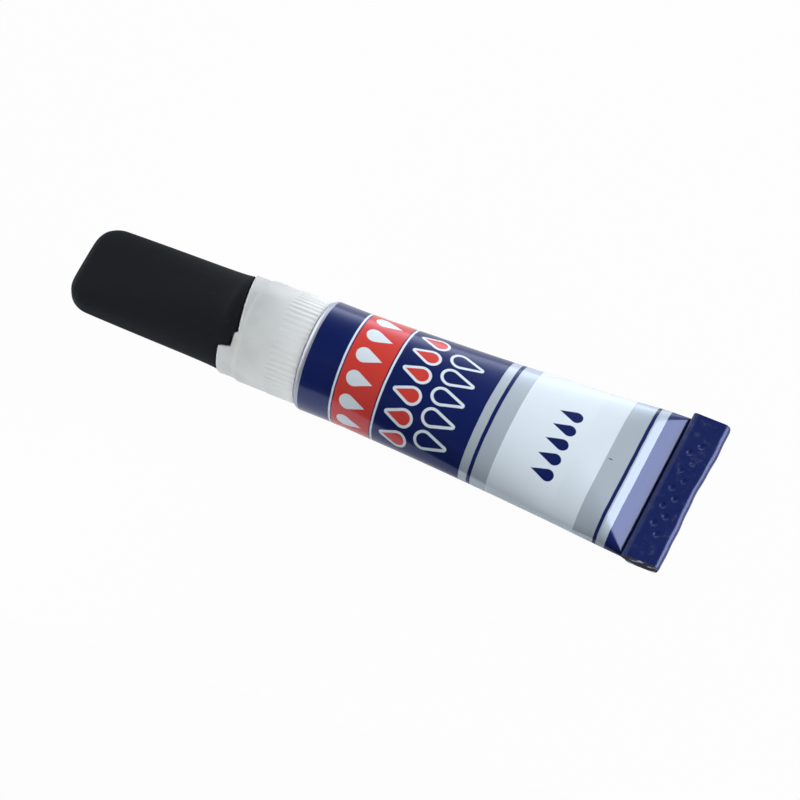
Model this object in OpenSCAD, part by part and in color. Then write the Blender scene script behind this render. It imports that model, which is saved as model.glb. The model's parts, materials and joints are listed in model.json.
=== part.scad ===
// Small collapsible aluminium glue tube: a one-piece tube with a folded crimp, a screw-on spout with a
// ribbed skirt, and a flat paddle cap that seats on the spout with a pair of helical cam steps.
// The tube lies on a table on its barrel and the edge of its crimp.

/* [Tube] */
// Outer diameter of the round barrel
barrel_d = 13.5; // [12:0.1:16]
// Length of the barrel that stays truly round below the shoulder
barrel_l = 3; // [2:0.1:6]
// Length from the shoulder corner to the inner edge of the crimp
body_l = 42.85; // [36:0.05:60]
// Wall of the drawn aluminium tube
wall = 0.2; // [0.15:0.01:0.3]
// Radius of the rolled corner between barrel and shoulder
corner_r = 0.8; // [0.6:0.05:1.2]
// Thickness of the shoulder
shoulder_t = 0.6; // [0.4:0.05:0.8]

/* [Crimp] */
// Half height that the top of the body would keep if its taper ran on to the crimp
end_rise = 1.5; // [0.8:0.05:2.5]
// The same for the underside, low enough for the crimp to reach the table
under_rise = 0.7; // [0.4:0.05:0.75]
// Length of the two facets that the press leaves beside the crimp
press_l = 3.4; // [2:0.1:5]
// Angle from the axis at which the flat of the body spreads to the ends of the crimp, in degrees
spread_angle = 46; // [35:1:60]
// Length of the folded crimp along the tube
crimp_l = 4.7; // [3:0.1:8]
// How far pressing spreads the crimp past the body on each side
crimp_lip = 0.3; // [0.2:0.05:1]
// Air left between the folded layers
fold_gap = 0.08; // [0.04:0.01:0.2]

/* [Neck] */
// Outer diameter of the neck, over its thread
neck_d = 6.6; // [5.6:0.1:7]
// Height of the neck above the shoulder
neck_h = 6.4; // [5:0.1:9]
// Wall of the neck
neck_wall = 0.7; // [0.5:0.05:1]
// Thickness of the metal skin that closes the neck until it is pierced
membrane_t = 0.25; // [0.15:0.05:0.5]

/* [Nozzle] */
// Outer diameter of the smooth part of the skirt
skirt_d = 12.6; // [12.4:0.1:13]
// Wall of the skirt
skirt_wall = 1.1; // [0.8:0.05:1.3]
// Thickness of the deck that closes the skirt
deck_t = 1; // [0.8:0.1:1.6]
// Wall of the inner sleeve that screws onto the neck
sleeve_wall = 0.9; // [0.7:0.05:1]
// Number of grip ribs round the foot of the skirt
rib_n = 58; // [40:1:72]
// Length of the grip ribs
rib_l = 3.6; // [2:0.1:5]
// Height of a grip rib above the groove beside it
rib_rise = 0.16; // [0.1:0.02:0.24]
// Outer diameter of the cam band above the skirt
band_d = 12.2; // [11.9:0.1:12.3]
// Height of the cam band between the skirt and the rim of the cap
band_h = 2.43; // [2.2:0.01:4]
// Outer diameter of the collar that the cap pushes onto
collar_d = 8.4; // [7.6:0.1:8.8]
// Height of the collar above the rim of the cap
collar_h = 1.2; // [0.8:0.1:1.6]

/* [Spout] */
// Length of the conical spout above the collar
spout_l = 13.5; // [10:0.1:14]
// Diameter of the spout at its root
spout_root_d = 6; // [5:0.1:7]
// Diameter of the spout at its tip
spout_tip_d = 2.2; // [2:0.1:2.6]
// Diameter of the glue channel
channel_d = 1.3; // [1.1:0.05:1.5]
// Outer diameter of the hollow spike that pierces the neck
spike_d = 2; // [1.8:0.1:2.6]
// Length of the spike below the deck
spike_l = 2.4; // [1.5:0.1:4]

/* [Cap] */
// Diameter of the round rim of the cap
rim_d = 11.75; // [11.5:0.05:12.2]
// Length of the cap from its rim to its tip
cap_l = 19.9; // [19.2:0.1:26]
// Width of the paddle at its tip
tip_w = 11.6; // [9:0.1:12]
// Thickness of the paddle at its tip
tip_t = 3; // [2.6:0.1:4.5]
// Plan radius of the two corners of the tip
tip_corner_r = 3; // [2:0.1:4]
// Radius of the edges round the end of the tip
tip_edge_r = 1; // [0.5:0.05:1.2]
// Turn of the paddle from the plane of the crimp, in degrees
cap_roll = 0; // [-90:1:90]
// Length of the steel pin that keeps the channel clear
pin_l = 9; // [6:0.1:12]
// Diameter of the pin
pin_d = 0.8; // [0.5:0.05:0.9]
// Depth of the pin's seat in the cap
pin_seat = 2.6; // [1.5:0.1:3]

/* [Cam] */
// Rise of each cam ramp on the rim of the cap
cam_rise = 1.85; // [1:0.05:2]
// Angle that each ramp climbs over, in degrees
cam_span = 105; // [80:1:130]
// Angle of the flat at the top of each ramp, in degrees
cam_dwell = 20; // [5:1:40]
// Depth of the notch that the flat forms behind its ramp
cam_notch = 0.4; // [0:0.1:0.8]
// Angle from the paddle's face to the start of a ramp, in degrees
cam_start = 64; // [0:1:180]

/* [Contents] */
// Level of the glue above the table while the tube lies flat
fill_level = 9.6; // [6:0.1:11]
// Length of the rubbery seal pressed inside the flattened end
seal_l = 1.2; // [1:0.1:4]

/* [Clearances] */
// Between the skirt of the nozzle and the shoulder
seat_gap = 0.15; // [0.1:0.05:0.3]
// Between the neck and the sleeve that turns on it
thread_gap = 0.15; // [0.1:0.05:0.25]
// Between the cap and the collar it pushes onto
collar_gap = 0.2; // [0.1:0.05:0.3]
// Between the cam faces of the cap and of the nozzle
cam_gap = 0.15; // [0.1:0.05:0.3]
// Between the spout and the inside of the cap
spout_gap = 0.4; // [0.2:0.05:0.6]
// Between the glue and the wall of the tube
fill_gap = 0.1; // [0.05:0.05:0.2]
// Between the seal and the wall of the tube
seal_gap = 0.04; // [0.02:0.01:0.06]
// Between the pin and its seat in the cap
pin_gap = 0.02; // [0.01:0.01:0.05]
// Between the spike and the edge of the pierced skin
pierce_gap = 0.12; // [0.05:0.01:0.3]

/* [Hidden] */
$fn = 72;

// One overrun serves all cuts and overlaps. The lofted body stays round a short lap past the barrel, and
// a small inset keeps it inside the round face it meets
overrun = 1;
seam_lap = 0.2;
seam_inset = 0.012;
taper_l = barrel_l + seam_lap;

// The pressed end keeps a little less than half the barrel's girth as its width
flat_share = 0.98;
barrel_r = barrel_d / 2;
flat_half = PI * barrel_d / 4 * flat_share;
side_seam = 1;
loft_steps = 6;
loft_sides = $fn;
cap_sides = 96;

// Heights along the axis from the shoulder corner, positive towards the cap
shoulder_h = corner_r;
neck_top_h = shoulder_h + neck_h;
skirt_foot_h = shoulder_h + seat_gap;
deck_foot_h = neck_top_h + 2 * thread_gap;
spike_foot_h = deck_foot_h - spike_l;
skirt_top_h = deck_foot_h + deck_t;
rim_h = skirt_top_h + band_h;
collar_top_h = rim_h + collar_h;
spout_top_h = collar_top_h + spout_l;
tip_h = rim_h + cap_l;
sleeve_foot_h = shoulder_h + shoulder_t;

// The crimp is the flattened tube end folded over twice, so it is three double layers thick
leg_t = 2 * wall;
crimp_t = 3 * leg_t + 2 * fold_gap;
fold_r = crimp_t / 2;
tuck_r = leg_t + fold_gap / 2;
crimp_w = 2 * flat_half + 2 * crimp_lip;
crimp_edge = body_l + crimp_l - fold_r;

// The facets start at a crease; the flat of the body starts further in and ends a little inside the crimp
crease_x = body_l - press_l;
flat_edge = wall / 2;
spread_x = body_l - (flat_half - flat_edge) / tan(spread_angle);

// Each rib takes a quarter of its pitch for its groove, its crest and each of its flanks
groove_share = 0.25;
chamfer = skirt_wall / 4;

// The tube leans until its barrel and the lower edge of its crimp lie on the table
lie_angle = atan2(barrel_r - seam_inset - leg_t / 2, crimp_edge - taper_l);
lie_lift = taper_l * sin(lie_angle) + (barrel_r - seam_inset) * cos(lie_angle);
low_end = -tip_h * cos(lie_angle) - (tip_t / 2 - tip_edge_r) * sin(lie_angle);
high_end = crimp_edge * cos(lie_angle) + (fold_r - leg_t / 2) * sin(lie_angle) + fold_r;
lie_shift = -(low_end + high_end) / 2;

// Places the tube's own frame, with X along its axis, on the table
module lying() {
    translate([lie_shift, 0, lie_lift]) rotate([0, lie_angle, 0]) children();
}

// Stands a piece turned about Z on the tube's axis, with its top towards the cap
module on_axis() {
    lying() rotate([0, -90, 0]) children();
}

// Closed solid through rings of points, each ring turning the same way about the line they follow. The
// first ring is closed by a fan to a point, as a cam's edge isn't flat
module loft(rings, hub) {
    n = len(rings[0]);
    last = len(rings) - 1;
    sides = [for (r = [0:last - 1], i = [0:n - 1])
        let (j = (i + 1) % n)
        each [[r * n + i, (r + 1) * n + i, (r + 1) * n + j], [r * n + i, (r + 1) * n + j, r * n + j]]];
    fan = [for (i = [0:n - 1]) [i, (i + 1) % n, len(rings) * n]];
    head = [for (i = [n - 1:-1:0]) last * n + i];
    polyhedron(concat([for (ring = rings) each ring], [hub]), concat(fan, [head], sides));
}

// Share of the way along the taper, and half height of the body above or below its middle: a straight taper
// down to the crease, then a facet down to the pressed wall
function taper_share(x) = max(0, x - taper_l) / (body_l - taper_l);
function side_h(x, rise) =
    let (t = taper_share(min(x, crease_x)))
    let (taper_h = (1 - t) * barrel_r + t * rise)
    x < crease_x ? taper_h : wall + (taper_h - wall) * (body_l - x) / press_l;

// Ring of the body at distance x along the tube, drawn in from the outer skin: an oval that a flat parts
// further and further towards the crimp
function body_ring(x, inset, seam) =
    let (t = taper_share(x))
    let (half_w = (1 - t) * (barrel_r - inset) + t * (flat_half - seam))
    let (flat = max(0, flat_half - flat_edge - t * seam - (body_l - x) * tan(spread_angle)))
    [for (i = [0:loft_sides - 1])
        let (a = 360 * i / loft_sides)
        let (half_h = side_h(x, sin(a) < 0 ? under_rise : end_rise) - inset)
        [x, sign(cos(a)) * flat + (half_w - flat) * cos(a), half_h * sin(a)]];

// Tapering body from a place in the round barrel to a distance along the tube
module body_loft(from, to, inset, seam) {
    taper = [for (k = [0:loft_steps]) taper_l + (spread_x - taper_l) * k / loft_steps];
    inner = [for (x = concat([from], taper, [crease_x])) if (x < to) x];
    loft([for (x = concat(inner, [to])) body_ring(x, inset, seam)], [from, 0, 0]);
}

// Half profile of the neck, shoulder and barrel, filled
module tube_profile() {
    translate([0, -barrel_l]) square([barrel_r, barrel_l]);
    square([barrel_r - corner_r, shoulder_h]);
    intersection() {
        translate([barrel_r - corner_r, 0]) circle(corner_r);
        square([barrel_r, shoulder_h]);
    }
    square([neck_d / 2, neck_top_h]);
}

// Half profile of the room inside the neck, shoulder and barrel
module tube_room() {
    translate([0, -barrel_l]) square([barrel_r - wall, barrel_l + shoulder_h - shoulder_t]);
    square([neck_d / 2 - neck_wall, neck_top_h - membrane_t]);
    square([spike_d / 2 + pierce_gap, neck_top_h + overrun]);
}

// Folded section of the crimp: the lower leg, the outer fold, the upper leg and the tucked end
module crimp_section() {
    tuck = body_l + tuck_r;
    translate([body_l - seam_lap, 0]) square([crimp_edge - body_l + seam_lap, leg_t]);
    translate([tuck, leg_t + fold_gap]) square([crimp_edge - tuck - leg_t, leg_t]);
    translate([tuck, crimp_t - leg_t]) square([crimp_edge - tuck, leg_t]);
    translate([crimp_edge, fold_r]) half_fold(fold_r);
    translate([tuck, crimp_t - tuck_r]) mirror([1, 0]) half_fold(tuck_r);
}

// Sheet bent back on itself, seen from its edge
module half_fold(r) {
    intersection() {
        difference() {
            circle(r);
            circle(r - leg_t);
        }
        translate([0, -r]) square([r, 2 * r]);
    }
}

module crimp() {
    translate([0, crimp_w / 2, -leg_t / 2]) rotate([90, 0, 0]) linear_extrude(crimp_w) crimp_section();
}

// One-piece tube: neck, shoulder, barrel, flattened body and folded crimp
module tube_shell() {
    color("midnightblue") difference() {
        union() {
            on_axis() rotate_extrude() tube_profile();
            lying() body_loft(barrel_l - overrun, body_l, seam_inset, 0);
            lying() crimp();
        }
        on_axis() rotate_extrude() tube_room();
        lying() body_loft(barrel_l - overrun, body_l - side_seam, wall + seam_inset, side_seam);
    }
}

// The glue, level with the table, short of the seal
module adhesive() {
    color("lightyellow") intersection() {
        lying() body_loft(shoulder_t + fill_gap - shoulder_h, body_l - 2 * side_seam - seal_l,
            wall + fill_gap + seam_inset, side_seam);
        translate([-body_l, -body_l, 0]) cube([2 * body_l, 2 * body_l, fill_level]);
    }
}

// Rubbery seal pressed between the walls of the flattened end
module seal_strip() {
    inner = body_l - side_seam - seal_gap - seal_l;
    color("tan") lying()
        loft([for (x = [inner, inner + seal_l]) body_ring(x, wall + seal_gap, side_seam + seal_gap)],
            [inner, 0, 0]);
}

// How far the rim of the cap reaches past its plane, at angle a from the paddle's face
function cam_reach(a) =
    let (along = (cam_start - a + 720) % 180)
    along < cam_span ? cam_rise * along / cam_span : along < cam_span + cam_dwell ? cam_rise - cam_notch : 0;

// Edge of a cam face at radius r: the face is straight from the axis out, so both cams stay parallel
function cam_ring(r, gap) =
    [for (i = [0:cap_sides - 1])
        let (a = 360 * i / cap_sides)
        [r * cos(a), r * sin(a), rim_h - gap - cam_reach(a) * 2 * r / rim_d]];

// Grip ribs as one toothed prism
module ribs() {
    crest = skirt_d / 2 + rib_rise / 2;
    root = crest - rib_rise;
    step = 360 / rib_n;
    tooth = [[root, 0], [root, groove_share], [crest, 2 * groove_share], [crest, 3 * groove_share]];
    linear_extrude(rib_l) polygon([for (i = [0:rib_n - 1], p = tooth)
        let (a = (i + p[1]) * step)
        p[0] * [cos(a), sin(a)]]);
}

// Half profile of the nozzle's skirt, deck, collar and spout, filled
module nozzle_profile() {
    root = skirt_d / 2 - rib_rise / 2;
    rib_top = skirt_foot_h + rib_l;
    translate([0, skirt_foot_h]) square([root, rib_l + chamfer]);
    polygon([[0, rib_top], [root, rib_top], [skirt_d / 2, rib_top + chamfer],
        [skirt_d / 2, skirt_top_h - chamfer], [skirt_d / 2 - chamfer, skirt_top_h], [0, skirt_top_h]]);
    square([collar_d / 2, collar_top_h]);
    polygon([[0, rim_h], [spout_root_d / 2, rim_h], [spout_root_d / 2, collar_top_h],
        [spout_tip_d / 2, spout_top_h], [0, spout_top_h]]);
}

// Half profile of the rooms inside the nozzle: round the sleeve, for the neck, and the glue channel
module nozzle_room() {
    sleeve_in = neck_d / 2 + thread_gap;
    sleeve_out = sleeve_in + sleeve_wall;
    translate([sleeve_out, 0]) square([skirt_d / 2 - skirt_wall - sleeve_out, deck_foot_h]);
    square([sleeve_out, sleeve_foot_h]);
    difference() {
        square([sleeve_in, deck_foot_h]);
        polygon([[0, spike_foot_h - spike_d / 2], [spike_d / 2, spike_foot_h],
            [spike_d / 2, deck_foot_h], [0, deck_foot_h]]);
    }
    square([channel_d / 2, spout_top_h + overrun]);
}

// White spout with a ribbed skirt, a cam band and a sleeve that screws onto the neck
module nozzle() {
    color("whitesmoke") on_axis() difference() {
        union() {
            rotate_extrude() nozzle_profile();
            translate([0, 0, skirt_foot_h]) ribs();
            rotate([0, 0, cap_roll]) cam_band();
        }
        rotate_extrude() nozzle_room();
    }
}

// Band under the rim of the cap, with the matching cam on top and its foot sunk in the deck
module cam_band() {
    crown = [for (p = cam_ring(band_d / 2, cam_gap)) [p[0], p[1], -p[2]]];
    foot = [for (p = crown) [p[0], p[1], deck_t / 2 - skirt_top_h]];
    mirror([0, 0, 1]) loft([crown, foot], [0, 0, cam_gap - rim_h]);
}

// Half width and half thickness of the paddle at height h, rounded off towards its tip
function round_off(h, r) = h < tip_h - r ? 0 : r - sqrt(max(0, r * r - pow(h - tip_h + r, 2)));
function paddle_half(h, tip, ease, r) =
    rim_d / 2 + (tip - rim_d / 2) * pow((h - rim_h) / cap_l, ease) - round_off(h, r);

// The round rim turns into a slab with soft corners: the power of its section rises from a circle's,
// and the slab thins faster near the rim than near the tip
slab_power = 4;
slab_ease = 1.4;
thin_ease = 0.7;
function paddle_power(h) = 2 + (slab_power - 2) * pow((h - rim_h) / cap_l, slab_ease);
function bulge(c, power) = sign(c) * pow(abs(c), 2 / power);
function paddle_ring(h) =
    let (n = paddle_power(h))
    let (half_t = paddle_half(h, tip_t / 2, thin_ease, tip_edge_r))
    let (half_w = paddle_half(h, tip_w / 2, 1, tip_corner_r))
    [for (i = [0:cap_sides - 1])
        let (a = 360 * i / cap_sides)
        [half_t * bulge(cos(a), n), half_w * bulge(sin(a), n), h]];

// Heights of the paddle's rings: even along the blade, closing up round the tip
blade_rings = 8;
nose_rings = 7;
nose_foot_h = tip_h - tip_corner_r;
function paddle_heights() = concat(
    [for (k = [1:blade_rings]) rim_h + (nose_foot_h - rim_h) * k / blade_rings],
    [for (k = [1:nose_rings]) nose_foot_h + tip_corner_r * sin(90 * k / nose_rings)]);

// Half profile of the room inside the cap: over the collar, then tapering round the spout
module cap_room() {
    bore_top = collar_top_h + spout_gap;
    translate([0, rim_h - cam_rise - overrun])
        square([collar_d / 2 + collar_gap, bore_top - rim_h + cam_rise + overrun]);
    polygon([[0, rim_h], [spout_root_d / 2 + spout_gap, rim_h], [spout_root_d / 2 + spout_gap, bore_top],
        [spout_tip_d / 2 + spout_gap, spout_top_h], [spout_tip_d / 2 + spout_gap, spout_top_h + spout_gap],
        [0, spout_top_h + spout_gap]]);
    square([pin_d / 2 + pin_gap, spout_top_h + spout_gap + pin_seat + pin_gap]);
}

// Black paddle cap with its cam rim
module cap_shell() {
    color("#191b1f") on_axis() rotate([0, 0, cap_roll]) difference() {
        loft(concat([cam_ring(rim_d / 2, 0)], [for (h = paddle_heights()) paddle_ring(h)]), [0, 0, rim_h]);
        rotate_extrude() cap_room();
    }
}

// Steel pin in the cap that stands in the glue channel while the cap is on
module anti_clog_pin() {
    top = spout_top_h + spout_gap + pin_seat;
    color("silver") on_axis() translate([0, 0, top - pin_l]) {
        translate([0, 0, pin_d / 2]) cylinder(d = pin_d, h = pin_l - pin_d / 2);
        cylinder(d1 = pin_d / 4, d2 = pin_d, h = pin_d / 2);
    }
}

tube_shell();
adhesive();
seal_strip();
nozzle();
cap_shell();
anti_clog_pin();
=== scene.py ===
import json
import math

import bpy
import numpy as np
from mathutils import Matrix, Vector


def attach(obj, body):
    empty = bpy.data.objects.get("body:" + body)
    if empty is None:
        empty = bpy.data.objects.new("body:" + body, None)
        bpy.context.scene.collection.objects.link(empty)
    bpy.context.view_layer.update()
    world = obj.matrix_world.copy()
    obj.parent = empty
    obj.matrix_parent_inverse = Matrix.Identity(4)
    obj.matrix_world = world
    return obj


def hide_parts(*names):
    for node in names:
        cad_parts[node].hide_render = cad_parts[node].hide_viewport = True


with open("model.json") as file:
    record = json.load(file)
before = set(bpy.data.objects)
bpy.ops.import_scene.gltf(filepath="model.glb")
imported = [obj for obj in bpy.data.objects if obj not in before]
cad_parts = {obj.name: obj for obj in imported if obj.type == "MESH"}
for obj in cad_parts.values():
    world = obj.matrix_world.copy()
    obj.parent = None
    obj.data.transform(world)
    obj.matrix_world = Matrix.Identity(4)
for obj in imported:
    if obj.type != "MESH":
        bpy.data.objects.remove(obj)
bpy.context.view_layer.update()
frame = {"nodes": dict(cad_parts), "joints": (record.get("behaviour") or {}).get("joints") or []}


# Tube body. One piece of soft aluminium, driven from a slug by a single blow of a press: threaded neck,
# shoulder and thin round wall. It is lacquered and printed while it is round, filled from its open end,
# and that end is then pressed flat, which leaves a sloping facet above and below.

MM = 0.001

# The tube's own frame, in millimetres: X from the shoulder towards the crimp, Y across, Z off the crimp.
# The nozzle's joint holds the point of the axis at the shoulder and the way to the cap
screw = frame["joints"][0]
to_crimp = -Vector(screw["axis"]).normalized()
across = Vector((0, 1, 0))
lie = Matrix((to_crimp, across, to_crimp.cross(across))).transposed().to_4x4()
lie = Matrix.Translation(screw["pos_m"]) @ lie @ Matrix.Scale(MM, 4)

barrel_r = 6.738
taper_x = 3.2
body_l = 42.85
flat_half = 10.39
top_rise, under_rise = 1.5, 0.7
press_l, press_softness = 3.4, 0.05
spread = math.tan(math.radians(46))
wall = 0.2
girth = 2 * math.pi * barrel_r
girth_n = 336
arc_n = 12 * girth_n


def body_section(x, inset=0):
    """Points round the body at distance x, evenly spaced, from its underside over the near side."""

    def half_h(rise):
        taper_h, crease_h = (barrel_r + (rise - barrel_r) * max(0, at - taper_x) / (body_l - taper_x)
                             for at in (x, body_l - press_l))
        facet_h = wall + (crease_h - wall) * (body_l - x) / press_l
        pressed = min(1, max(0, 0.5 + 0.5 * (taper_h - facet_h) / press_softness))
        softened = press_softness * pressed * (1 - pressed)
        return taper_h + (facet_h - taper_h) * pressed - softened - inset

    half_w = barrel_r + (flat_half - barrel_r) * max(0, x - taper_x) / (body_l - taper_x) - inset
    flat = max(0, flat_half - inset - wall / 2 - (body_l - x) * spread)
    a = np.linspace(-np.pi, np.pi, arc_n + 1)
    y = np.sign(np.sin(a)) * flat + (half_w - flat) * np.sin(a)
    z = np.cos(a) * np.where(np.cos(a) > 0, half_h(top_rise), half_h(under_rise))
    run = np.concatenate([[0], np.cumsum(np.hypot(np.diff(y), np.diff(z)))])
    even = np.linspace(0, run[-1], girth_n + 1)[:-1]
    return np.stack([np.full(girth_n, x), np.interp(even, run, y), np.interp(even, run, z)], 1)


def turned(r, h, count):
    """Points turned about the axis, from the underside, by their radius and height towards the cap."""
    a = np.linspace(-np.pi, np.pi, count, endpoint=False)
    return np.stack([-h + 0 * a, r * np.sin(a), r * np.cos(a)], 1)


def quads(rows, columns):
    """Corners of the faces between rows of points, as row and column numbers."""
    r, c = (grid.ravel() for grid in np.mgrid[0:rows - 1, 0:columns])
    around = [(r, c), (r, c + 1), (r + 1, c + 1), (r + 1, c)]
    return np.stack([np.stack(corner, 1) for corner in around], 1)


def skin(name, rows, body, ends=True, loop=True):
    """Object through rows of points in the tube's frame, which moves with a body. Each row closes on itself
    if it is a loop, and the first and last row have a face if it has ends."""
    columns = len(rows[0])
    corners = quads(len(rows), columns if loop else columns - 1)
    faces = (corners[..., 0] * columns + corners[..., 1] % columns).tolist()
    if ends:
        faces += [list(range(columns)), [len(rows) * columns - 1 - i for i in range(columns)]]
    points = np.concatenate(rows) @ np.array(lie.to_3x3()).T + np.array(lie.translation)
    mesh = bpy.data.meshes.new(name)
    mesh.from_pydata(points.tolist(), [], faces)
    mesh.shade_smooth()
    mesh.set_sharp_from_angle(angle=math.radians(40))
    piece = bpy.data.objects.new(name, mesh)
    bpy.context.scene.collection.objects.link(piece)
    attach(piece, body)
    return piece, corners


corner_r = 0.8
shoulder_t = 0.6
neck_r, neck_bore_r, neck_top = 3.3, 2.6, 7.2
pierced_r = 1.12
membrane_t = 0.25
thread_pitch, thread_depth = 1.5, 0.35
thread_run_in, thread_run_out = 0.8, 0.5
close_rows_x = 31
inner_l = body_l - 1

# Outside, from the crimp to the shoulder, over its rounded corner and up the threaded neck. The rows lie
# closer together towards the crimp, where the body is pressed
outer_x = np.concatenate([np.linspace(body_l, close_rows_x, 104), np.linspace(close_rows_x, 0, 56)[1:]])
tube_rows = [body_section(x) for x in outer_x]
tube_run = list(outer_x)
for bend in np.radians(np.linspace(9, 90, 10)):
    bend_r = barrel_r - corner_r + corner_r * math.cos(bend)
    tube_rows.append(turned(bend_r, corner_r * math.sin(bend), girth_n))
    tube_run.append(-corner_r * bend)
neck_run = tube_run[-1] - (barrel_r - corner_r - neck_r)
turn_share = np.linspace(0, 1, girth_n, endpoint=False)
for h in np.linspace(corner_r, neck_top, 44):
    cut = 0.5 - 0.5 * np.cos(2 * np.pi * (h / thread_pitch - turn_share))
    fade = min(1, (h - corner_r) / thread_run_in, (neck_top - h) / thread_run_out)
    tube_rows.append(turned(neck_r - thread_depth * cut * fade, h, girth_n))
    tube_run.append(neck_run - (h - corner_r))

# Inside, from the hole that the spike has pierced, down the neck and along the wall
shoulder_h = corner_r - shoulder_t
membrane_h = neck_top - membrane_t
for r, h in [(pierced_r, neck_top), (pierced_r, membrane_h), (neck_bore_r, membrane_h),
             (neck_bore_r, shoulder_h), (barrel_r - wall, shoulder_h)]:
    tube_rows.append(turned(r, h, girth_n))
    tube_run.append(tube_run[-1] - wall)
for x in np.linspace(0, inner_l, 24):
    tube_rows.append(body_section(x, wall))
    tube_run.append(tube_run[-1] - wall)

tube_body, corners = skin("tube_body", tube_rows, "tube")
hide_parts("tube_shell")

# The print is laid out on the flat blank: along the tube from the shoulder, and round it from the middle of
# the top, positive towards the near side, both in millimetres
blank = tube_body.data.uv_layers.new(name="print")
along = np.array(tube_run)[corners[..., 0]]
around = girth * (0.5 - corners[..., 1] / girth_n)
laid_out = np.zeros((len(tube_body.data.loops), 2))
laid_out[:along.size] = np.stack([along.ravel(), around.ravel()], 1)
laid_out[along.size:, 0] = tube_run[-1]
blank.data.foreach_set("uv", laid_out.ravel().astype(np.float32))


class Ink:
    """What a shader node gives out, as a value that arithmetic can be done with."""

    def __init__(self, tree, socket=None):
        self.tree, self.socket = tree, socket

    def node(self, kind, settings=None, sockets=None, out=0):
        """Adds a node, with its settings first and then the values or links of its sockets."""
        made = self.tree.nodes.new("ShaderNode" + kind)
        for name, value in (settings or {}).items():
            setattr(made, name, value)
        for key, value in (sockets or {}).items():
            if isinstance(value, Ink):
                self.tree.links.new(value.socket, made.inputs[key])
            else:
                made.inputs[key].default_value = value
        return Ink(self.tree, made.outputs[out])

    def beside(self, out):
        """Another output of the same node."""
        return Ink(self.tree, self.socket.node.outputs[out])

    def math(self, operation, *values):
        return self.node("Math", {"operation": operation}, dict(enumerate(values)))

    def __add__(self, other):
        return self.math("ADD", self, other)

    def __radd__(self, other):
        return self.math("ADD", other, self)

    def __sub__(self, other):
        return self.math("SUBTRACT", self, other)

    def __rsub__(self, other):
        return self.math("SUBTRACT", other, self)

    def __mul__(self, other):
        return self.math("MULTIPLY", self, other)

    def __rmul__(self, other):
        return self.math("MULTIPLY", other, self)

    def __truediv__(self, other):
        return self.math("DIVIDE", self, other)

    def __pow__(self, other):
        return self.math("POWER", self, other)

    def __abs__(self):
        return self.math("ABSOLUTE", self)

    def least(self, other):
        return self.math("MINIMUM", self, other)

    def most(self, other):
        return self.math("MAXIMUM", self, other)

    def rise(self, low, high):
        """From 0 at the low value to 1 at the high one."""
        return self.node("MapRange", {}, {0: self, 1: low, 2: high})

    def band(self, low, high, edge):
        """1 between the two values and 0 outside them, with edges of a half width."""
        return self.rise(low - edge, low + edge) - self.rise(high - edge, high + edge)

    def tint(self, under, over):
        """A colour, from the one under where this value is 0 to the one over where it is 1."""
        return self.node("Mix", {"data_type": "RGBA"}, {0: self, 6: under, 7: over}, out=2)


def finish(name, **constants):
    """New material whose principled shader has its fixed sockets set, with its paper and that shader."""
    material = bpy.data.materials.new(name)
    material.use_nodes = True
    shader = material.node_tree.nodes["Principled BSDF"]
    for key, value in constants.items():
        shader.inputs[key.replace("_", " ")].default_value = value
    return material, Ink(material.node_tree), shader


def feed(paper, shader, **inks):
    for key, ink in inks.items():
        paper.tree.links.new(ink.socket, shader.inputs[key.replace("_", " ")])


def surface_place(paper):
    """Place on the piece, in metres, which moves with it."""
    return paper.node("TexCoord").beside(3)


def grain(paper, place, scale, detail=2, roughness=0.5):
    """Soft cloud of values from 0 to 1 over the surface, with features about 1 / scale across."""
    sockets = {"Vector": place, "Scale": scale, "Detail": detail, "Roughness": roughness}
    return paper.node("TexNoise", {}, sockets)


def relief(paper, strength, depth, height):
    """Normals of a fine relief, for the shader."""
    return paper.node("Bump", {}, {"Strength": strength, "Distance": depth, "Height": height})


NAVY = (0.0075, 0.0155, 0.1, 1)
WHITE = (0.76, 0.83, 0.885, 1)
RED = (0.66, 0.056, 0.042, 1)
SILVER = (0.55, 0.62, 0.69, 1)
GREY = (0.45, 0.51, 0.57, 1)
SOOT = (0.03, 0.032, 0.038, 1)
BARE_METAL = (0.5, 0.52, 0.58, 1)

# Where each ink starts and ends along the blank. What they leave free is silver. The last stretch goes on
# over the crimp, and part of that is tucked under
navy_bands = [(0, 21.25), (22.33, 22.8), (38.86, 39.3), (40.4, 80)]
white_panel = (24.8, 36.25)
grey_band = (39.3, 40.4)
tuck_run = (52.7, 54.5)
shoulder_edge = (-0.1, 0.05)
ink_edge, hard_edge, fold_edge, tuck_edge = 0.035, 0.001, 0.1, 0.15
ink_waver = 0.09

printed, paper, shader = finish("printed_aluminium_lacquer", IOR=1.5, Specular_IOR_Level=0.8,
                                Specular_Tint=(0.62, 0.68, 1, 1))
layout = paper.node("UVMap", {"uv_map": "print"})
layout = paper.node("SeparateXYZ", {}, {0: layout})
place = surface_place(paper)
waver = (grain(paper, place, 420) - 0.5) * ink_waver
u, v = layout + waver, layout.beside(1) + waver


def row_of(centre, pitch, count):
    """Places across each motif of a row round the tube, and where the row's motifs are."""
    cell = (v - centre) / pitch + count / 2
    return (cell.math("FRACT", cell) - 0.5) * pitch, cell.band(0, count, hard_edge)


def drop(x, y, r, tip):
    """How far a place is outside a drop with its round end at the middle and its point along x."""
    slope = r / tip
    side = math.sqrt(1 - slope ** 2)
    y = abs(y)
    ball = (x * x + y * y) ** 0.5 - r
    flank = y * side + x * slope - r
    past_ball = (x * side - y * slope).rise(0, hard_edge)
    past_tip = ((x - tip) * (x - tip) + y * y) ** 0.5
    over_tip = (x * side - y * slope - tip * side).rise(0, hard_edge)
    cone = flank + over_tip * (past_tip - flank)
    return ball + past_ball * (cone - ball)


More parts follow.
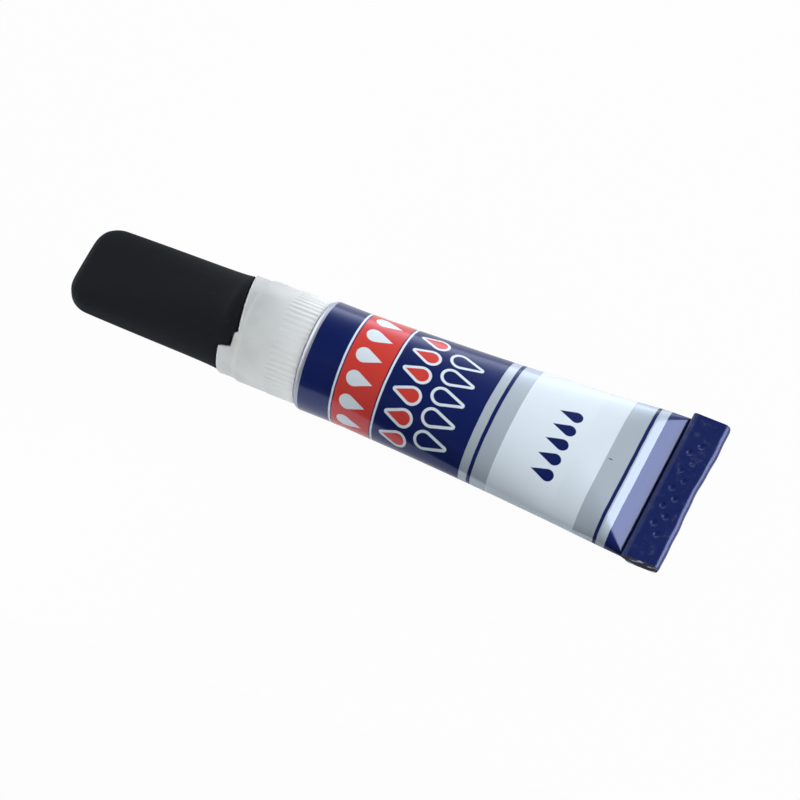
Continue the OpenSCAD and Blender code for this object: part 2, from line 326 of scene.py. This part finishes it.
def inked(distance, reach=0):
    """1 where a place is no further outside a motif than the reach, and 0 beyond."""
    return 1 - distance.rise(reach - ink_edge, reach + ink_edge)


# Red ring with pale keylines and a row of white drops all the way round
ring_low, ring_high = 4.4, 9.4
keyline_in, keyline_out = 0.15, 0.4
ring_drop_n, ring_drop_u, ring_drop_r, ring_drop_tip = 14, 6.1, 0.95, 2.3
ring = u.band(ring_low, ring_high, ink_edge)
keyline = (u.band(ring_low - keyline_out, ring_high + keyline_out, ink_edge)
           - u.band(ring_low - keyline_in, ring_high + keyline_in, ink_edge))
ring_v, _ = row_of(0, girth / ring_drop_n, ring_drop_n)
ring_drop = inked(drop(u - ring_drop_u, ring_v, ring_drop_r, ring_drop_tip))

# Red drops, and longer navy drops that point the other way, with bold white outlines, round the middle of
# the side that is seen
middle_v, row_pitch = 2.2, 2.9
red_n, red_u, red_r, red_tip, red_outline = 6, 13.1, 0.85, 2.05, 0.34
blue_n, blue_u, blue_r, blue_tip, blue_outline = 5, 16.2, 0.88, 2.6, 0.36
red_v, red_row = row_of(middle_v, row_pitch, red_n)
red_drop = drop(red_u - u, red_v, red_r, red_tip)
blue_v, blue_row = row_of(middle_v, row_pitch, blue_n)
blue_drop = drop(u - blue_u, blue_v, blue_r, blue_tip)
outlined = (inked(red_drop, red_outline) * red_row).most(inked(blue_drop, blue_outline) * blue_row)

# Small navy drops in the white panel
mark_middle_v, mark_pitch, mark_n = 1.2, 2.2, 5
mark_u, mark_r, mark_tip = 31.1, 0.78, 2.1
mark_v, mark_row = row_of(mark_middle_v, mark_pitch, mark_n)
mark = inked(drop(mark_u - u, mark_v, mark_r, mark_tip)) * mark_row

# A nick just past the panel, rubs where the tube was handled, and a worn, crinkled fold
nick_u, nick_v, nick_r, nick_squeeze = 36.8, 0.15, 0.11, 0.4
nick = inked((((u - nick_u) * nick_squeeze) ** 2 + (v - nick_v) ** 2) ** 0.5 - nick_r)
cloud = grain(paper, place, 300, 3)
scuff = grain(paper, place, 2600, 5, 0.7).rise(0.68, 0.8)
rub = grain(paper, place, 160, 4).rise(0.55, 0.75) * scuff
folded = u.rise(body_l - fold_edge, body_l + fold_edge)
speck = grain(paper, place, 1000, 5, 0.7).rise(0.56, 0.7) * folded
crinkle = grain(paper, place, 1300, 4, 0.65) * folded
tucked = u.band(*tuck_run, tuck_edge)
shoulder = 1 - u.rise(*shoulder_edge)

navy = u.band(*navy_bands[0], ink_edge)
for navy_band in navy_bands[1:]:
    navy = navy.most(u.band(*navy_band, ink_edge))
white = u.band(*white_panel, ink_edge)
grey = u.band(*grey_band, ink_edge)
silver = 1 - navy.most(white)

colour = silver.tint(NAVY, SILVER)
colour = grey.tint(colour, GREY)
colour = white.tint(colour, WHITE)
colour = ring.tint(colour, RED)
colour = keyline.most(ring_drop * ring).most(outlined).tint(colour, WHITE)
colour = (inked(red_drop) * red_row).tint(colour, RED)
colour = (inked(blue_drop) * blue_row).most(mark).tint(colour, NAVY)
colour = (rub * 0.12).most(speck * 0.06).tint(colour, SILVER)
colour = (nick * 0.8).tint(colour, SOOT)
roughness = 0.15 + silver * 0.05 + shoulder * 0.25 + folded * 0.1 + tucked * 0.35 + cloud * 0.05 + rub * 0.2
feed(paper, shader, Base_Color=shoulder.tint(colour, BARE_METAL), Roughness=roughness,
     Metallic=shoulder * 0.5 + (silver - grey) * 0.25,
     Normal=relief(paper, 0.15, 0.0001, cloud * 0.3 + scuff * 0.06 + crinkle * 1.2))
tube_body.data.materials.append(printed)


# Crimp. The flat end of the same tube, folded over twice on itself and pressed, so that six layers of sheet
# lie on each other. A stamp has pressed two staggered rows of dimples into its upper side.

leg_t = 0.4
fold_r, tuck_r = 0.68, 0.44
crimp_edge = 46.87
crimp_half = 10.68
crimp_n = 230
root_lap, tuck_lap, middle_lap = 0.2, 0.12, 0.15
fold_z = fold_r - leg_t / 2
tuck_x = body_l + tuck_r - tuck_lap
tuck_z = 2 * fold_r - tuck_r - leg_t / 2
top_z = 2 * fold_r - leg_t
middle_z = tuck_z - tuck_r + leg_t / 2


def bent(x, z, r, start, end, count):
    """Points round a bend, between two angles in degrees."""
    return [(x + r * math.cos(a), z + r * math.sin(a)) for a in np.radians(np.linspace(start, end, count))]


# The line that the folded double sheet follows, seen from the side
sheet = [(x, 0) for x in np.linspace(body_l - root_lap, crimp_edge, 10)[:-1]]
sheet += bent(crimp_edge, fold_z, fold_z, -90, 90, 15)
sheet += [(x, top_z) for x in np.linspace(crimp_edge, tuck_x, 46)[1:-1]]
sheet += bent(tuck_x, tuck_z, tuck_r - leg_t / 2, 90, 270, 11)
sheet += [(x, middle_z) for x in np.linspace(tuck_x, crimp_edge + middle_lap, 8)[1:]]
sheet = np.array(sheet)
way = np.gradient(sheet, axis=0)
way /= np.linalg.norm(way, axis=1)[:, None]
outward = np.stack([way[:, 1], -way[:, 0]], 1)
outline = np.concatenate([sheet + outward * leg_t / 2, (sheet - outward * leg_t / 2)[::-1]])
on_top = outline[:, 1] > top_z + 0.9 * leg_t / 2
above_fold = outline[:, 1] > fold_z
lowest_leg = outline[:, 1] < middle_z - leg_t / 2

stamp_x, stamp_half_l, stamp_half_w, stamp_n = 44.95, 0.45, 6.6, 11
stamp_r, stamp_depth = 0.42, 0.1
stamp_reach_share = 1.3


def stamped(x, y):
    """How deep the stamp has pressed its two staggered rows of dimples into the crimp, from 0 to 1."""
    deep = np.zeros_like(x)
    for i, dimple_y in enumerate(np.linspace(-stamp_half_w, stamp_half_w, stamp_n)):
        away = np.hypot(x - stamp_x - stamp_half_l * (-1) ** i, y - dimple_y)
        deep = np.maximum(deep, np.clip(stamp_reach_share - away / stamp_r, 0, 1))
    return deep * deep * (3 - 2 * deep)


# Handling has left the folded edge wavy, bowed in a little, worn at its corners and rippled
edge_wave, edge_wear, edge_bow, edge_ripple = 0.14, 0.1, 0.2, 0.05
wear_w = 0.5
bow_y, bow_half_w = -1, 5
flare_l, flare_share = 0.8, 0.035

crimp_rows = []
for y in np.linspace(crimp_half, -crimp_half, crimp_n):
    x, z = outline[:, 0].copy(), outline[:, 1].copy()
    out = np.clip((x - body_l) / (crimp_edge - body_l), 0, 1)
    wave = 0.5 + 0.3 * math.sin(0.62 * y + 0.8) + 0.2 * math.sin(1.7 * y)
    worn = max(0, (abs(y) - crimp_half + wear_w) / wear_w) ** 2
    bow = math.exp(-((y - bow_y) / bow_half_w) ** 2)
    x -= out * (edge_wave * wave + edge_wear * worn + edge_bow * bow)
    z -= np.where(on_top, stamp_depth * stamped(x, y), 0)
    z += edge_ripple * out * math.sin(0.45 * y + 0.5) * above_fold
    z = np.minimum(z, top_z + leg_t / 2)
    flare = np.where(lowest_leg, 1 - np.clip((x - body_l) / flare_l, 0, 1), 0)
    crimp_rows.append(np.stack([x, y * (1 - flare_share * flare), z], 1))

tube_crimp, corners = skin("tube_crimp", crimp_rows, "tube", ends=False)
tube_crimp.data.materials.append(printed)
blank = tube_crimp.data.uv_layers.new(name="print")
run = np.concatenate([[0], np.cumsum(np.linalg.norm(np.diff(outline, axis=0), axis=1)), [0]])
row_gap = 2 * crimp_half / (crimp_n - 1)
laid_out = np.stack([body_l + run[corners[..., 1]].ravel(), corners[..., 0].ravel() * row_gap], 1)
blank.data.foreach_set("uv", laid_out.ravel().astype(np.float32))

# The cut ends of the sheet are dark, partly lacquer smeared on them and partly painted shade where they lie
# in shadow. They are bare in streaks, whose bright colour also paints glints, with a fine groove between the
# layers
groove_depth = 0.06
cut, paper, shader = finish("cut_aluminium", Metallic=0.3)
layered = paper.node("Mapping", {}, {0: surface_place(paper), 3: (0.22, 1, 1)})
burr_and_glint = grain(paper, layered, 2600, 3)
# The dark colour is partly painted shade, and the bright streaks are bare metal that also paint glints
feed(paper, shader, Base_Color=burr_and_glint.rise(0.56, 0.66).tint((0.012, 0.013, 0.035, 1), (0.8, 0.81, 0.84, 1)),
     Roughness=0.35 + burr_and_glint * 0.25, Normal=relief(paper, 0.4, 0.00003, burr_and_glint))
for side, row, order in (("far", crimp_rows[0], -1), ("near", crimp_rows[-1], 1)):
    one, other = row[:len(sheet)], row[len(sheet):][::-1]
    groove = (one + other) / 2
    groove[:, 1] *= 1 - groove_depth / crimp_half
    layers = [one, groove, other][::order]
    crimp_end, _ = skin("crimp_end_" + side, layers, "tube", ends=False, loop=False)
    crimp_end.data.materials.append(cut)


# Glue and seal. The glue is a thin clear liquid that fills the tube to its rest level; the seal is a line of
# dried latex pressed between the walls of the flat end. Neither shows while the tube is closed.

glue, paper, shader = finish("clear_glue", Transmission_Weight=0.9, IOR=1.45)
streak = grain(paper, surface_place(paper), 180, 3)
feed(paper, shader, Base_Color=streak.tint((0.9, 0.9, 0.82, 1), (0.96, 0.96, 0.92, 1)),
     Roughness=0.04 + streak * 0.05)
latex, paper, shader = finish("dried_latex")
crumb = grain(paper, surface_place(paper), 1500, 4)
feed(paper, shader, Base_Color=crumb.tint((0.42, 0.29, 0.15, 1), (0.6, 0.46, 0.28, 1)),
     Roughness=0.6 + crumb * 0.25, Normal=relief(paper, 1, 0.00005, crumb))
for node, material in (("adhesive", glue), ("seal_strip", latex)):
    frame["nodes"][node].data.materials.clear()
    frame["nodes"][node].data.materials.append(material)


# Nozzle. White polyethylene, moulded in one shot: a skirt with grip ribs, a cam band, a collar that the cap
# pushes onto, the long spout, a sleeve that screws onto the neck and a hollow spike that pierces it.

rib_n = 58
rib_rise, rib_fade_l = 0.1, 0.5
skirt_r, skirt_in_r = 6.3, 5.2
skirt_foot, rib_top, skirt_top = 0.87, 4.55, 8.5
skirt_lip = 0.11
band_r = 6.1
ledge_h = 0.35
rim_r, rim_h = 5.875, 10.93
cam_rise, cam_span, cam_dwell, cam_start = 1.85, 105, 20, 64
cam_notch, cam_round, cam_gap = 0.4, 2.6, 0.15
collar_r, collar_foot, collar_top = 4.2, rim_h + 0.1, 12.13
spout_root_r, spout_tip_r, spout_top = 3, 1.1, 25.63
root_fillet = 0.2
channel_r = 0.65
spike_r, spike_foot, spike_slant = 1, 5.1, 0.35
deck_foot = 7.5
sleeve_in_r, sleeve_out_r, sleeve_foot, sleeve_chamfer = 3.45, 4.35, 1.4, 0.2
soft_edge = 0.12

nozzle_n = 8 * rib_n
nozzle_turn = np.linspace(-180, 180, nozzle_n, endpoint=False)


def cam_reach(turn):
    """How far the rim of the cap reaches past its plane, by the angle from the paddle's face in degrees. The
    corners of its steps are rounded over a few degrees."""
    along = (cam_start - turn[:, None] + np.linspace(-cam_round, cam_round, 9) + 720) % 180
    sharp = np.where(along < cam_span, cam_rise * along / cam_span,
                     np.where(along < cam_span + cam_dwell, cam_rise - cam_notch, 0))
    return np.average(sharp, axis=1, weights=np.hanning(11)[1:-1])


def cam_edge(turn, r):
    return rim_h - cam_reach(turn) * r / rim_r


# Outside, from the foot of the skirt over its ribs to the ledge under the cam band
tooth = np.cos(np.radians(nozzle_turn * rib_n))
ribbed = skirt_r + rib_rise / 2 * tooth
rib_foot, rib_fade_h = skirt_foot + 0.1, rib_top - 0.3
plain_foot, plain_top = rib_top + 0.6, skirt_top - 0.4
ledge = skirt_r - band_r
ledge_steps = ((0.12, -0.2), (0.38, -0.05), (0.66, 0.1), (0.9, 0.25))
nozzle_profile = [(skirt_in_r, skirt_foot), (barrel_r - corner_r, skirt_foot),
                  (ribbed - 1.5 * soft_edge, skirt_foot - 0.5 * skirt_lip),
                  (ribbed - 0.4 * soft_edge, skirt_foot - skirt_lip), (ribbed, skirt_foot - 0.7 * skirt_lip)]
nozzle_profile += [(ribbed, h) for h in np.linspace(rib_foot, rib_fade_h, 7)]
for fade in np.linspace(0.2, 1, 5):
    nozzle_profile.append((ribbed + (skirt_r - ribbed) * fade, rib_fade_h + rib_fade_l * fade))
nozzle_profile += [(skirt_r, h) for h in np.linspace(plain_foot, plain_top, 4)]
nozzle_profile += [(skirt_r - ledge * fall, skirt_top + up) for fall, up in ledge_steps]

# Up the cam band, over its crown to the collar, and up the spout to its tip
crown = cam_edge(nozzle_turn, band_r) - cam_gap
crown_radii = (5.4, 4.8, collar_r)
band_foot = skirt_top + ledge_h
nozzle_profile += [(band_r, band_foot + (crown - soft_edge - band_foot) * share) for share in (0, 0.5, 1)]
nozzle_profile += [(band_r - 0.3 * soft_edge, crown - 0.3 * soft_edge), (band_r - soft_edge, crown)]
nozzle_profile += [(r, cam_edge(nozzle_turn, r) - cam_gap) for r in crown_radii]
nozzle_profile += [(collar_r, collar_foot), (collar_r, collar_top - soft_edge),
                   (collar_r - soft_edge, collar_top), (spout_root_r + root_fillet, collar_top),
                   (spout_root_r, collar_top + root_fillet)]
for share in (0.1, 0.3, 0.5, 0.7, 0.9, 0.985):
    nozzle_profile.append((spout_root_r + (spout_tip_r - spout_root_r) * share,
                           collar_top + (spout_top - collar_top) * share))

# Down the glue channel, round the spike and the sleeve, and back to the foot of the skirt
nozzle_profile += [(spout_tip_r - soft_edge, spout_top), (channel_r + soft_edge, spout_top),
                   (channel_r, spout_top - soft_edge), (channel_r, spike_foot - spike_slant),
                   (spike_r, spike_foot), (spike_r, deck_foot), (sleeve_in_r, deck_foot),
                   (sleeve_in_r, sleeve_foot + sleeve_chamfer), (sleeve_in_r + sleeve_chamfer, sleeve_foot),
                   (sleeve_out_r, sleeve_foot), (sleeve_out_r, deck_foot), (skirt_in_r, deck_foot),
                   (skirt_in_r, skirt_foot)]
nozzle_rows = [turned(r, h, nozzle_n) for r, h in nozzle_profile]
nozzle, _ = skin("nozzle_spout", nozzle_rows, "nozzle", ends=False)
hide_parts("nozzle")

# The plastic is milky. Towards the shoulder, where the skirt thins, its colour is painted paler: painted
# light, standing in for light that shines through the thin plastic
milky, paper, shader = finish("milky_polyethylene", Subsurface_Weight=0.7, Subsurface_Scale=0.0008, IOR=1.51,
                              Subsurface_Radius=(1, 0.95, 0.9))
place = surface_place(paper)
flow = grain(paper, place, 210, 4, 0.6).rise(0.3, 0.7)
mould = grain(paper, place, 5200, 2)
shoulder_x = screw["pos_m"][0]
# Painted light: how far the colour is lifted towards the pale one, nearing the shoulder
painted_through_light = paper.node("SeparateXYZ", {}, {0: place}).rise(shoulder_x - skirt_top * MM, shoulder_x)
flow_tone = flow.tint((0.42, 0.44, 0.435, 1), (0.54, 0.555, 0.545, 1))
feed(paper, shader, Base_Color=(painted_through_light * 0.85).tint(flow_tone, (0.88, 0.89, 0.88, 1)),
     Roughness=0.28 + flow * 0.1, Normal=relief(paper, 0.15, 0.00003, mould + flow))
nozzle.data.materials.append(milky)


# Cap. Black polypropylene, moulded in one shot: a round rim with two cam ramps that runs out into a flat
# paddle, bored for the collar and the spout. A steel pin in its roof keeps the glue channel clear.

cap_l = 19.9
tip_h = rim_h + cap_l
tip_half_w, tip_half_t = 5.8, 1.5
tip_corner_r, tip_edge_r = 3, 1
slab_power, slab_ease, thin_ease = 4, 1.4, 0.7
bore_r, bore_mouth, bore_top = 4.4, rim_h + 0.3, 12.53
room_r, room_tip_r, room_top = 3.4, 1.5, 26.03
pin_hole_r, pin_hole_top = 0.42, 28.65
ramp_top = rim_h + 1.6

cap_n = 288
cap_turn = np.linspace(-180, 180, cap_n, endpoint=False)


def paddle(h):
    """Points round the cap at a height, or at a height for each of them."""
    share = np.clip((h - rim_h) / cap_l, 0, 1) + 0 * cap_turn
    power = 2 + (slab_power - 2) * share ** slab_ease

    def rounded_off(r):
        nose = np.clip(h - tip_h + r, 0, r)
        return r - np.sqrt(r * r - nose * nose)

    half_t = rim_r + (tip_half_t - rim_r) * share ** thin_ease - rounded_off(tip_edge_r)
    half_w = rim_r + (tip_half_w - rim_r) * share - rounded_off(tip_corner_r)
    c, s = np.cos(np.radians(cap_turn)), np.sin(np.radians(cap_turn))
    round_share = (np.abs(c) ** power + np.abs(s) ** power) ** (1 / power)
    return np.stack([-h + 0 * c, half_w * s / round_share, half_t * c / round_share], 1)


# From the pin's hole down the bores, round the rim, and up the paddle to its nose
edge = cam_edge(cap_turn, rim_r)
rim_radii = (bore_r + 0.1, 5, rim_r - 1.5 * soft_edge)
nose_foot = tip_h - tip_corner_r
cap_rows = [turned(r, h, cap_n) for r, h in [
    (pin_hole_r, pin_hole_top), (pin_hole_r, room_top), (room_tip_r, room_top), (room_tip_r, spout_top),
    (room_r, bore_top), (bore_r, bore_top), (bore_r, bore_mouth)]]
cap_rows += [turned(r, cam_edge(cap_turn, r), cap_n) for r in rim_radii]
cap_rows += [turned(rim_r - 0.5 * soft_edge, edge + 0.2 * soft_edge, cap_n)]
for share in np.linspace(0, 1, 8):
    cap_rows.append(paddle(edge + soft_edge + (ramp_top - edge - soft_edge) * share))
cap_rows += [paddle(h) for h in np.linspace(ramp_top, nose_foot, 26)[1:]]
cap_rows += [paddle(nose_foot + tip_corner_r * math.sin(a)) for a in np.radians(np.linspace(5, 90, 18))]
cap, _ = skin("paddle_cap", cap_rows, "cap")
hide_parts("cap_shell")

black, paper, shader = finish("satin_black_polypropylene", IOR=1.45, Specular_IOR_Level=0.05)
place = surface_place(paper)
haze = grain(paper, place, 90, 3)
satin = grain(paper, place, 4200, 3)
brushed = paper.node("Mapping", {}, {0: place, 3: (0.15, 1, 1)})
scratch = grain(paper, brushed, 3200, 4, 0.65).rise(0.62, 0.72)
feed(paper, shader, Base_Color=(scratch * 0.2).tint((0.0105, 0.0115, 0.014, 1), (0.045, 0.046, 0.05, 1)),
     Roughness=0.55 + haze * 0.1 + scratch * 0.1, Normal=relief(paper, 0.2, 0.00004, satin + scratch * 0.4))
cap.data.materials.append(black)

steel, paper, shader = finish("drawn_steel_wire", Metallic=1)
drawn = grain(paper, paper.node("Mapping", {}, {0: surface_place(paper), 3: (0.05, 1, 1)}), 9000, 3)
feed(paper, shader, Base_Color=drawn.tint((0.45, 0.45, 0.46, 1), (0.62, 0.62, 0.64, 1)),
     Roughness=0.22 + drawn * 0.15)
pin = frame["nodes"]["anti_clog_pin"]
pin.data.materials.clear()
pin.data.materials.append(steel)


# Studio. A wide white table under a pale horizon, with a key and a wide softbox behind the crimp, a fill over
# the cap and a small card beside it. Two black flags stand in front: the lacquer mirrors the tall one as a
# dark edge, and the low one holds light off the near side.

COOL_WHITE = (0.92, 0.96, 1)


def card(name, corners, faces):
    """Sheet that belongs to the studio and not to the object."""
    mesh = bpy.data.meshes.new(name)
    mesh.from_pydata(corners, [], faces)
    made = bpy.data.objects.new(name, mesh)
    bpy.context.scene.collection.objects.link(made)
    return made


def lamp(name, toward, distance, size, watts, at=(0, 0, 0)):
    """Square lamp that stands off a place in a direction, and faces it."""
    light = bpy.data.lights.new(name, "AREA")
    light.shape, light.size, light.energy = "SQUARE", size, watts
    made = bpy.data.objects.new(name, light)
    bpy.context.scene.collection.objects.link(made)
    way = Vector(toward).normalized()
    made.location = Vector(at) + way * distance
    made.rotation_mode = "QUATERNION"
    made.rotation_quaternion = way.to_track_quat("Z", "Y")
    return made


# The table lies just under the tube. To the eye it is nearly all a white glow, and in mirrors more than half.
# The rest of it takes the shadow
table_half, table_z = 4, -0.00002
seen_share, mirrored_share = 0.97, 0.6
table = card("table", [(-table_half, -table_half, table_z), (table_half, -table_half, table_z),
                       (table_half, table_half, table_z), (-table_half, table_half, table_z)], [(0, 1, 2, 3)])
white_table = bpy.data.materials.new("white_table")
white_table.use_nodes = True
tree = white_table.node_tree
paper = Ink(tree)
ray = paper.node("LightPath")
seen = (ray * seen_share).most(ray.beside(3).most(ray.beside(6)) * mirrored_share)
fleck = grain(paper, surface_place(paper), 300, 3)
matt = paper.node("BsdfDiffuse", {}, {0: fleck.tint((0.60, 0.61, 0.62, 1), (0.66, 0.66, 0.66, 1))})
glow = paper.node("Emission", {}, {0: (1, 1, 1, 1), 1: 1})
surface = paper.node("MixShader", {}, {0: seen, 1: matt, 2: glow})
tree.links.new(surface.socket, tree.nodes["Material Output"].inputs[0])
table.data.materials.append(white_table)

felt, _, _ = finish("black_felt", Base_Color=(0.01, 0.01, 0.011, 1), Roughness=1)
flag_near, flag_far, flag_half, flag_z = -0.042, -1, 1.5, 0.0002
tall_flag_h, low_flag_h = 1.2, 0.45
for name, flag_h in (("tall_flag", tall_flag_h), ("low_flag", low_flag_h)):
    flag = card(name, [(-flag_half, flag_near, flag_z), (flag_half, flag_near, flag_z),
                       (flag_half, flag_far, flag_z), (-flag_half, flag_far, flag_z),
                       (flag_half, flag_far, flag_h), (-flag_half, flag_far, flag_h)],
                [(0, 1, 2, 3), (3, 2, 4, 5)])
    flag.data.materials.append(felt)
    flag.visible_camera = flag.visible_shadow = flag.visible_transmission = False
    flag.visible_glossy = name == "tall_flag"
    flag.visible_diffuse = name == "low_flag"

key = lamp("key_softbox", toward=(0.655, 0.507, 0.560), distance=1, size=0.36, watts=0.9)
wide = lamp("wide_softbox", toward=(0.9, 0.35, 0.45), distance=1, size=0.9, watts=9)
lamp("fill_softbox", toward=(-0.95, 0.25, 0.45), distance=1, size=0.8, watts=4.5)
key.data.color = wide.data.color = COOL_WHITE
bounce = lamp("bounce_card", toward=(-0.35, -0.9, 0.2), distance=0.125, size=0.03, watts=0.0038,
              at=(-0.027, 0, 0.009))
bounce.data.spread = math.radians(25)
bounce.visible_glossy = False

# The sky glows at the horizon and darkens upwards, by its elevation in degrees
horizon_glow, glow_fall, most_glow = 5.3, 0.075, 2.4
sky = bpy.data.worlds.new("pale_horizon")
bpy.context.scene.world = sky
sky.use_nodes = True
tree = sky.node_tree
paper = Ink(tree)
up = paper.node("SeparateXYZ", {}, {0: paper.node("TexCoord").beside(0)}).beside(2)
elevation = up.math("ARCSINE", up) * math.degrees(1)
glow = (horizon_glow * elevation.math("EXPONENT", elevation * -glow_fall)).least(most_glow)
camera_ray = paper.node("LightPath")
tree.links.new(glow.most(camera_ray).socket, tree.nodes["Background"].inputs["Strength"])
tree.nodes["Background"].inputs["Color"].default_value = (*COOL_WHITE, 1)

# The camera stands off the near side of the crimp, as in the photograph
view_azimuth, view_elevation, view_roll = (math.radians(a) for a in (33.6269, 52.5142, -11.1257))
view_distance = 0.700844
view_aim = Vector((0.003098, -0.002598, 0.007))
lens = bpy.data.cameras.new("camera")
lens.lens, lens.sensor_width = 271.92, 36
lens.clip_start, lens.clip_end = 0.01, 20
camera = bpy.data.objects.new("camera", lens)
bpy.context.scene.collection.objects.link(camera)
back = Vector((math.sin(view_azimuth) * math.cos(view_elevation),
               -math.cos(view_azimuth) * math.cos(view_elevation), math.sin(view_elevation)))
turn = (-back).to_track_quat("-Z", "Y").to_matrix().to_4x4() @ Matrix.Rotation(view_roll, 4, "Z")
camera.matrix_world = Matrix.Translation(view_aim + back * view_distance) @ turn
bpy.context.scene.camera = camera
bpy.context.scene.view_settings.view_transform = "Standard"

bpy.context.view_layer.update()
